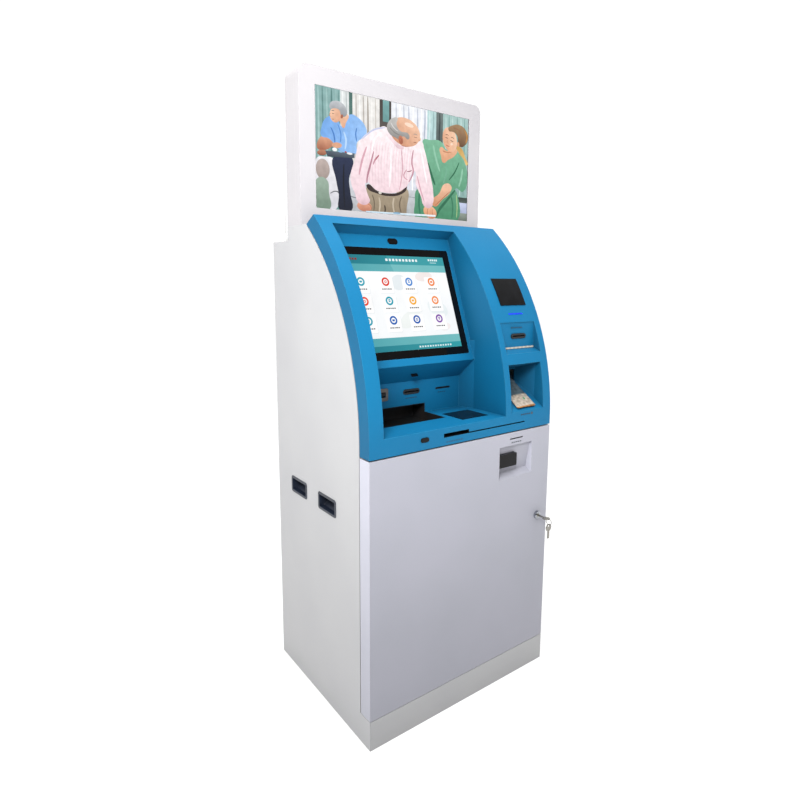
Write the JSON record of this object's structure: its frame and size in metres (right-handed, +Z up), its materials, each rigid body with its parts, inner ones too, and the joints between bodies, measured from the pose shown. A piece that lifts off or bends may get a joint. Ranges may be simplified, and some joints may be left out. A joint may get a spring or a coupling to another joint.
{
  "type": "atm machine",
  "caption": "Free-standing payment kiosk with hinged lower door, lifting curved hood, touch screen, cash and card outlets and a display on top.",
  "frame": {"origin": "centre of the footprint, on the floor", "axes": "+Z up, -Y towards the user, +X to the user's right"},
  "size_m": [0.703, 0.6149, 1.885],
  "materials": {
    "panel_paint": "fine-texture powder coat",
    "door_paint": "fine-texture powder coat",
    "display_paint": "satin powder coat",
    "hood_paint": "satin blue powder coat",
    "zinc_steel": "zinc plated",
    "screw_steel": "zinc plated",
    "black_paint": "textured black",
    "cup_plastic": "moulded ABS",
    "cassette_plastic": "moulded",
    "black_plastic": "moulded ABS",
    "gloss_black": "smoked acrylic",
    "pocket_plastic": "moulded ABS",
    "advert_glass": "cover glass over a lit panel",
    "screen_glass": "black-edged touch glass",
    "antenna_plastic": "moulded",
    "receipt_paper": "thermal paper",
    "lock_chrome": "polished",
    "key_nickel": "nickel silver",
    "reader_steel": "brushed",
    "light_diffuser": "lit diffuser",
    "note_paper": "printed paper"
  },
  "bodies": {
    "cabinet": {"left_side_panel": "panel_paint", "right_side_panel": "panel_paint", "left_front_handle_cup": "cup_plastic", "right_front_handle_cup": "cup_plastic", "left_rear_handle_cup": "cup_plastic", "right_rear_handle_cup": "cup_plastic", "base_plate": "zinc_steel", "front_plinth": "panel_paint", "rear_panel": "panel_paint", "rear_screws": "screw_steel", "top_cover": "panel_paint", "mid_rail": "panel_paint", "door_pivots": "screw_steel", "left_frame": "zinc_steel", "right_frame": "zinc_steel", "equipment_shelf": "zinc_steel", "industrial_pc": "black_paint", "cash_dispenser": "zinc_steel", "cash_cassettes": "cassette_plastic", "power_inlet": "black_plastic", "fan_frame": "black_plastic", "display_bezel": "display_paint", "display_glass": "advert_glass", "display_panel": "black_plastic", "display_rear_cover": "display_paint", "display_bracket": "zinc_steel", "antenna_base": "antenna_plastic", "hood_hinge": "screw_steel"},
    "fan": {"fan_rotor": "black_plastic"},
    "antenna": {"antenna_rod": "antenna_plastic"},
    "door": {"front_door": "door_paint", "door_stiffener": "zinc_steel", "scoop_tray": "door_paint", "code_scanner": "gloss_black", "receipt_printer": "black_plastic", "door_lock": "lock_chrome"},
    "roll": {"paper_roll": "receipt_paper"},
    "lock_plug": {"lock_key": "key_nickel", "lock_cam": "zinc_steel"},
    "key_ring": {"spare_key": "key_nickel"},
    "hood": {"hood_shell": "hood_paint", "recess_liner": "hood_paint", "touch_glass": "screen_glass", "touch_monitor": "black_plastic", "camera": "gloss_black", "card_reader": "black_plastic", "ticket_unit": "black_plastic", "fingerprint_reader": "reader_steel", "document_pocket": "pocket_plastic", "shelf_scanner": "gloss_black", "lip_sensor": "gloss_black", "paper_guide": "black_plastic", "column_window": "gloss_black", "light_strips": "light_diffuser", "niche_liner": "hood_paint", "bank_card_reader": "black_plastic", "cash_tray": "hood_paint", "banknotes": "note_paper", "hinge_strap": "zinc_steel"},
    "stay": {"hood_stay": "zinc_steel"}
  },
  "joints": [
    {"name": "door_hinge", "type": "hinge", "parent": "cabinet", "child": "door", "pos_m": [-0.3435, -0.2355, 0.45], "axis": [0, 0, -1], "range_deg": [0, 110]},
    {"name": "hood_hinge", "type": "hinge", "parent": "cabinet", "child": "hood", "pos_m": [0, 0.04669, 1.447], "axis": [-1, 0, 0], "range_deg": [0, 70]},
    {"name": "stay_swing", "type": "hinge", "parent": "hood", "child": "stay", "pos_m": [-0.322, -0.0892, 1.33], "axis": [1, 0, 0], "range_deg": [0, 50]},
    {"name": "lock_turn", "type": "hinge", "parent": "door", "child": "lock_plug", "pos_m": [0.302, -0.275, 0.527], "axis": [0, -1, 0], "range_deg": [0, 90]},
    {"name": "key_swing", "type": "hinge", "parent": "lock_plug", "child": "key_ring", "pos_m": [0.302, -0.327, 0.51911], "axis": [1, 0, 0], "range_deg": [-60, 25]},
    {"name": "roll_spin", "type": "hinge", "parent": "door", "child": "roll", "pos_m": [0.2055, -0.2155, 0.767], "axis": [1, 0, 0], "continuous": true},
    {"name": "fan_spin", "type": "hinge", "parent": "cabinet", "child": "fan", "pos_m": [0, 0.26, 1.05], "axis": [0, 1, 0], "continuous": true},
    {"name": "antenna_tilt", "type": "hinge", "parent": "cabinet", "child": "antenna", "pos_m": [-0.335, 0.225, 1.417], "axis": [0, 1, 0], "range_deg": [0, 90]}
  ]
}
